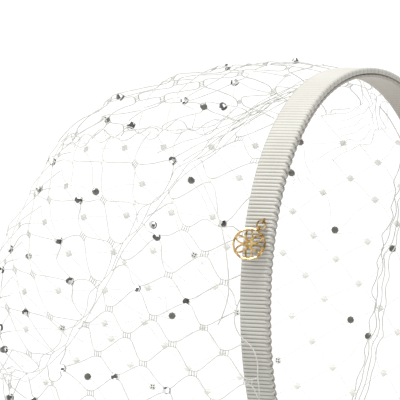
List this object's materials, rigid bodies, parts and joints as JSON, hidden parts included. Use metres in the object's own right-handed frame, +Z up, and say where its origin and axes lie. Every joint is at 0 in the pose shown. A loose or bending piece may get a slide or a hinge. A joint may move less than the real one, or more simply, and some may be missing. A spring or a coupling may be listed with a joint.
{
  "type": "birdcage veil",
  "caption": "Ribbon-covered headband with a puffed and creased netting veil, cut stones on its knots and a round pierced charm.",
  "frame": {"origin": "inside of the headband at the middle of its top", "axes": "+Z up, the wearer faces -Y, +X is the wearer's left side, where the charm hangs"},
  "size_m": [0.1444, 0.1543, 0.1431],
  "materials": {
    "ribbon_outer": "cross-ribbed ribbon, matt with a slight sheen",
    "headband_core": "plain sprung strip",
    "ribbon_lining": "cross-ribbed ribbon, matt",
    "veil_net": "stiff open netting",
    "stones": "cut and polished",
    "gold": "polished gold plate"
  },
  "bodies": {
    "root": {"ribbon_outer": "ribbon_outer", "headband_core": "headband_core", "ribbon_lining": "ribbon_lining", "veil_net": "veil_net", "stone_01": "stones", "stone_02": "stones", "stone_03": "stones", "stone_04": "stones", "stone_05": "stones", "stone_06": "stones", "stone_07": "stones", "stone_08": "stones", "stone_09": "stones", "stone_10": "stones", "stone_11": "stones", "stone_12": "stones", "stone_13": "stones", "stone_14": "stones", "stone_15": "stones", "stone_16": "stones", "stone_17": "stones", "stone_18": "stones", "stone_19": "stones", "stone_20": "stones", "stone_21": "stones", "stone_22": "stones", "stone_23": "stones", "stone_24": "stones", "stone_25": "stones", "stone_26": "stones", "stone_27": "stones", "stone_28": "stones", "stone_29": "stones", "stone_30": "stones", "stone_31": "stones", "stone_32": "stones", "sewn_loop": "gold", "jump_ring": "gold", "charm": "gold"}
  },
  "joints": []
}
